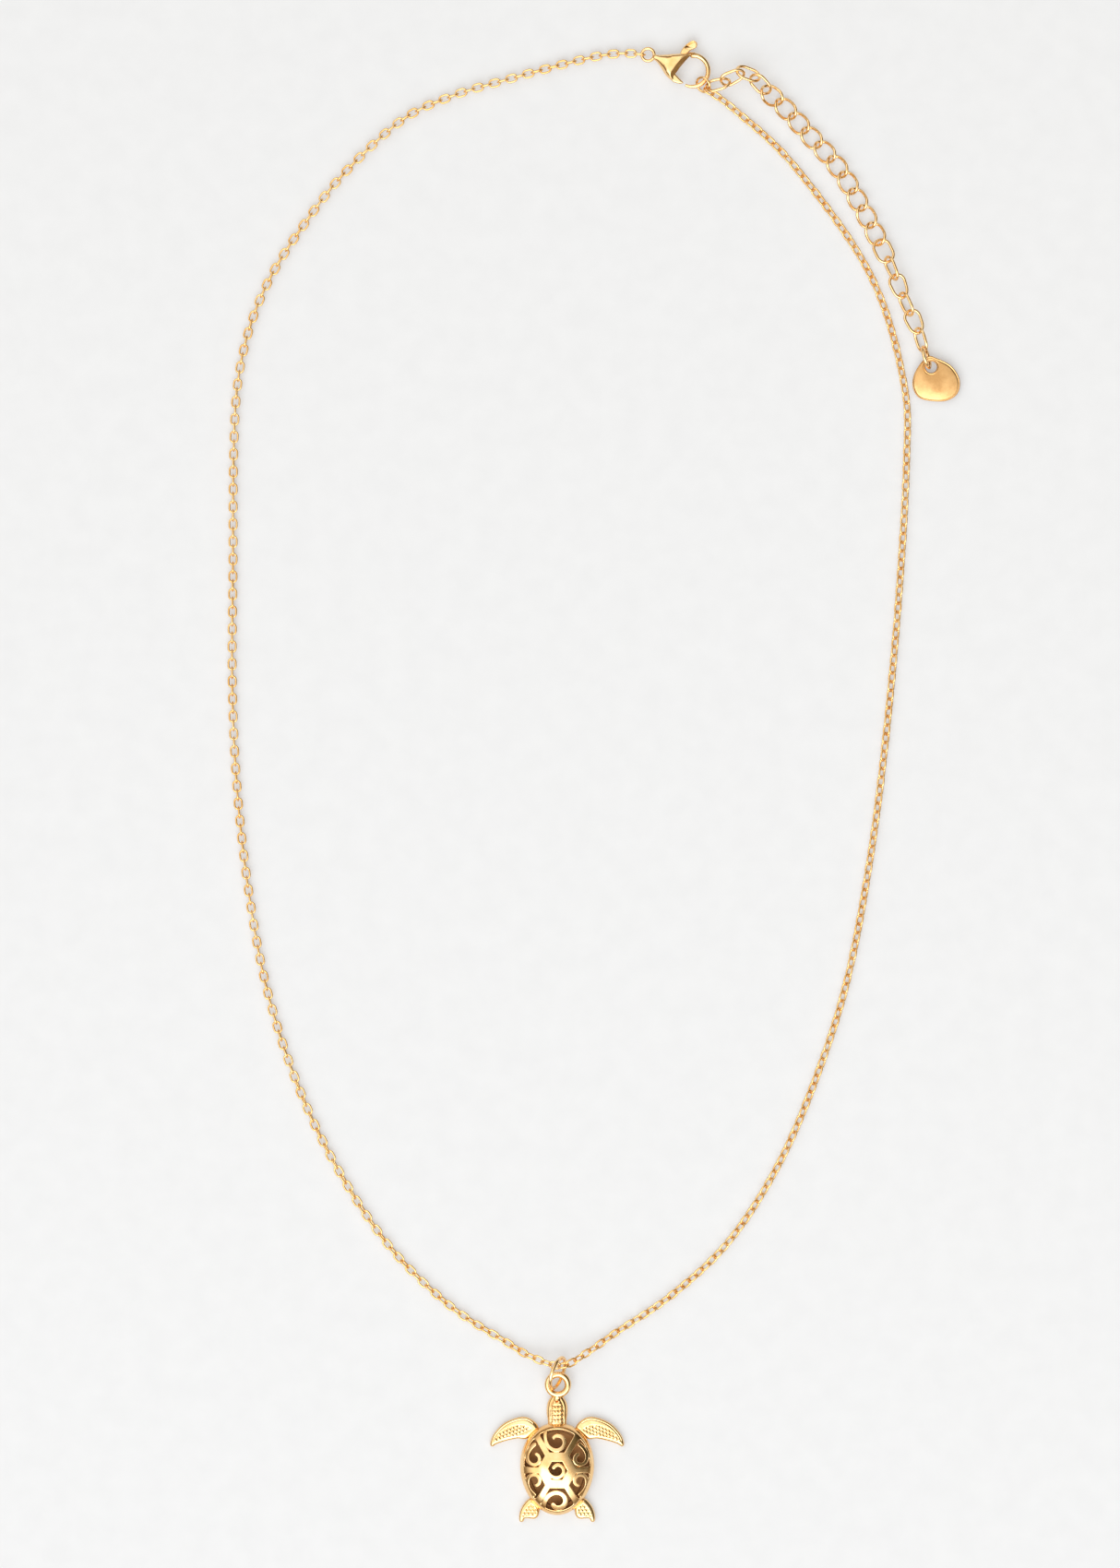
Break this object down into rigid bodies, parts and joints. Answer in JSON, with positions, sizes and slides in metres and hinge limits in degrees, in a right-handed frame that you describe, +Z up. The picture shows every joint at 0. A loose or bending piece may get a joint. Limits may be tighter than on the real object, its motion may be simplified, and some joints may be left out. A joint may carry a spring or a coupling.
{
  "type": "pendant necklace",
  "caption": "Fine cable chain necklace with an openwork turtle pendant on a ring, a lobster clasp and a curb-link extender ending in a plain drop tag.",
  "frame": {"origin": "middle of the laid-out necklace's box, on the plane it lies on", "axes": "+Y from the pendant to the clasp, +Z up from the plane, +X to the side of the extender"},
  "size_m": [0.1024, 0.207, 0.0047],
  "materials": {
    "chain_gold": "polished gold-tone plating",
    "findings_gold": "polished gold-tone plating",
    "pendant_gold": "polished gold-tone plating over cast metal",
    "spring_steel": "drawn spring wire"
  },
  "bodies": {
    "necklace_chain": {"main_chain_1": "chain_gold", "main_chain_2": "chain_gold", "main_chain_3": "chain_gold", "main_chain_4": "chain_gold", "main_chain_5": "chain_gold", "main_chain_6": "chain_gold", "main_chain_7": "chain_gold", "main_chain_8": "chain_gold"},
    "clasp": {"clasp_body": "findings_gold", "clasp_pin": "findings_gold", "clasp_spring": "spring_steel"},
    "clasp_lever": {"clasp_lever": "findings_gold"},
    "connector_ring": {"connector_ring": "findings_gold"},
    "extender_link_1": {"extender_link_1": "findings_gold"},
    "extender_link_2": {"extender_link_2": "findings_gold"},
    "extender_link_3": {"extender_link_3": "findings_gold"},
    "extender_link_4": {"extender_link_4": "findings_gold"},
    "extender_link_5": {"extender_link_5": "findings_gold"},
    "extender_link_6": {"extender_link_6": "findings_gold"},
    "extender_link_7": {"extender_link_7": "findings_gold"},
    "extender_link_8": {"extender_link_8": "findings_gold"},
    "extender_link_9": {"extender_link_9": "findings_gold"},
    "extender_link_10": {"extender_link_10": "findings_gold"},
    "extender_link_11": {"extender_link_11": "findings_gold"},
    "extender_link_12": {"extender_link_12": "findings_gold"},
    "extender_link_13": {"extender_link_13": "findings_gold"},
    "extender_link_14": {"extender_link_14": "findings_gold"},
    "extender_link_15": {"extender_link_15": "findings_gold"},
    "extender_link_16": {"extender_link_16": "findings_gold"},
    "extender_link_17": {"extender_link_17": "findings_gold"},
    "extender_link_18": {"extender_link_18": "findings_gold"},
    "extender_link_19": {"extender_link_19": "findings_gold"},
    "extender_link_20": {"extender_link_20": "findings_gold"},
    "tag_ring": {"tag_ring": "findings_gold"},
    "end_tag": {"end_tag": "findings_gold"},
    "pendant_ring": {"pendant_ring": "findings_gold"},
    "turtle": {"turtle_base": "pendant_gold", "turtle_shell": "pendant_gold"}
  },
  "joints": [
    {"name": "clasp_roll", "type": "hinge", "parent": "necklace_chain", "child": "clasp", "pos_m": [0.0075, 0.1016, 0.00105], "axis": [0.8486, -0.5291, 0], "range_deg": [-7, 4]},
    {"name": "clasp_lever_pivot", "type": "hinge", "parent": "clasp", "child": "clasp_lever", "pos_m": [0.01123, 0.10014, 0.00105], "axis": [0, 0, 1], "range_deg": [0, 25], "stiffness_Nm_per_rad": 0.004, "springref_deg": -11.46},
    {"name": "connector_ring_swing", "type": "hinge", "parent": "necklace_chain", "child": "connector_ring", "pos_m": [0.0157, 0.09623, 0.00142], "axis": [0.8523, -0.5114, -0.1103], "range_deg": [-3, 12]},
    {"name": "extender_link_1_swing", "type": "hinge", "parent": "connector_ring", "child": "extender_link_1", "pos_m": [0.01606, 0.09688, 0.00147], "axis": [0.2099, 0.7798, 0.5898], "range_deg": [-45, 2]},
    {"name": "extender_link_2_swing", "type": "hinge", "parent": "extender_link_1", "child": "extender_link_2", "pos_m": [0.01829, 0.09781, 0.00203], "axis": [-0.486, 0.874, 0], "range_deg": [-40, 15]},
    {"name": "extender_link_3_swing", "type": "hinge", "parent": "extender_link_2", "child": "extender_link_3", "pos_m": [0.02034, 0.09878, 0.00235], "axis": [0.309, -0.9511, 0], "range_deg": [-8, 45]},
    {"name": "extender_link_4_swing", "type": "hinge", "parent": "extender_link_3", "child": "extender_link_4", "pos_m": [0.02239, 0.09818, 0.0021], "axis": [0.6591, 0.7521, 0], "range_deg": [-45, 30]},
    {"name": "extender_link_5_swing", "type": "hinge", "parent": "extender_link_4", "child": "extender_link_5", "pos_m": [0.0239, 0.0966, 0.00141], "axis": [-0.7258, -0.6879, 0], "range_deg": [-45, 45]},
    {"name": "extender_link_6_swing", "type": "hinge", "parent": "extender_link_5", "child": "extender_link_6", "pos_m": [0.02577, 0.09501, 0.00094], "axis": [0.678, 0.735, 0], "range_deg": [-45, 45]},
    {"name": "extender_link_7_swing", "type": "hinge", "parent": "extender_link_6", "child": "extender_link_7", "pos_m": [0.02763, 0.09306, 0.00083], "axis": [-0.7417, -0.6707, 0], "range_deg": [-45, 45]},
    {"name": "extender_link_8_swing", "type": "hinge", "parent": "extender_link_7", "child": "extender_link_8", "pos_m": [0.02944, 0.09104, 0.00081], "axis": [0.7469, 0.6649, 0], "range_deg": [-45, 45]},
    {"name": "extender_link_9_swing", "type": "hinge", "parent": "extender_link_8", "child": "extender_link_9", "pos_m": [0.03126, 0.08905, 0.00079], "axis": [-0.7283, -0.6853, 0], "range_deg": [-45, 45]},
    {"name": "extender_link_10_swing", "type": "hinge", "parent": "extender_link_9", "child": "extender_link_10", "pos_m": [0.03308, 0.08705, 0.0008], "axis": [0.7609, 0.6489, 0], "range_deg": [-45, 45]},
    {"name": "extender_link_11_swing", "type": "hinge", "parent": "extender_link_10", "child": "extender_link_11", "pos_m": [0.0347, 0.08489, 0.0008], "axis": [-0.8378, -0.5459, 0], "range_deg": [-45, 45]},
    {"name": "extender_link_12_swing", "type": "hinge", "parent": "extender_link_11", "child": "extender_link_12", "pos_m": [0.03608, 0.08256, 0.0008], "axis": [0.8729, 0.4879, 0], "range_deg": [-45, 45]},
    {"name": "extender_link_13_swing", "type": "hinge", "parent": "extender_link_12", "child": "extender_link_13", "pos_m": [0.03739, 0.0802, 0.00079], "axis": [-0.8772, -0.4801, 0], "range_deg": [-45, 45]},
    {"name": "extender_link_14_swing", "type": "hinge", "parent": "extender_link_13", "child": "extender_link_14", "pos_m": [0.03865, 0.07781, 0.00076], "axis": [0.8906, 0.4548, 0], "range_deg": [-45, 45]},
    {"name": "extender_link_15_swing", "type": "hinge", "parent": "extender_link_14", "child": "extender_link_15", "pos_m": [0.03985, 0.07539, 0.00084], "axis": [-0.9013, -0.4332, 0], "range_deg": [-40, 25]},
    {"name": "extender_link_16_swing", "type": "hinge", "parent": "extender_link_15", "child": "extender_link_16", "pos_m": [0.04097, 0.07296, 0.00122], "axis": [0.9148, 0.4039, 0], "range_deg": [-45, 45]},
    {"name": "extender_link_17_swing", "type": "hinge", "parent": "extender_link_16", "child": "extender_link_17", "pos_m": [0.04202, 0.07048, 0.00143], "axis": [-0.9267, -0.3759, 0], "range_deg": [-45, 45]},
    {"name": "extender_link_18_swing", "type": "hinge", "parent": "extender_link_17", "child": "extender_link_18", "pos_m": [0.04302, 0.06797, 0.00136], "axis": [0.9262, 0.3771, 0], "range_deg": [-45, 45]},
    {"name": "extender_link_19_swing", "type": "hinge", "parent": "extender_link_18", "child": "extender_link_19", "pos_m": [0.04412, 0.0655, 0.00135], "axis": [-0.9057, -0.4239, 0], "range_deg": [-45, 45]},
    {"name": "extender_link_20_swing", "type": "hinge", "parent": "extender_link_19", "child": "extender_link_20", "pos_m": [0.04518, 0.06301, 0.00135], "axis": [0.9447, 0.3279, 0], "range_deg": [-45, 45]},
    {"name": "tag_ring_swing", "type": "hinge", "parent": "extender_link_20", "child": "tag_ring", "pos_m": [0.04587, 0.06068, 0.00207], "axis": [-0.1692, -0.2786, 0.9454], "range_deg": [-3, 45]},
    {"name": "end_tag_swing", "type": "hinge", "parent": "tag_ring", "child": "end_tag", "pos_m": [0.04686, 0.05866, 0.00049], "axis": [-0.1204, 0.8625, -0.4915], "range_deg": [-60, 25]},
    {"name": "pendant_ring_swing", "type": "hinge", "parent": "necklace_chain", "child": "pendant_ring", "pos_m": [-0.0051, -0.0816, 0.002], "axis": [1, 0, 0], "range_deg": [-30, 60]},
    {"name": "turtle_swing", "type": "hinge", "parent": "pendant_ring", "child": "turtle", "pos_m": [-0.005, -0.0832, 0.0014], "axis": [1, 0, 0], "range_deg": [-12, 60]}
  ]
}
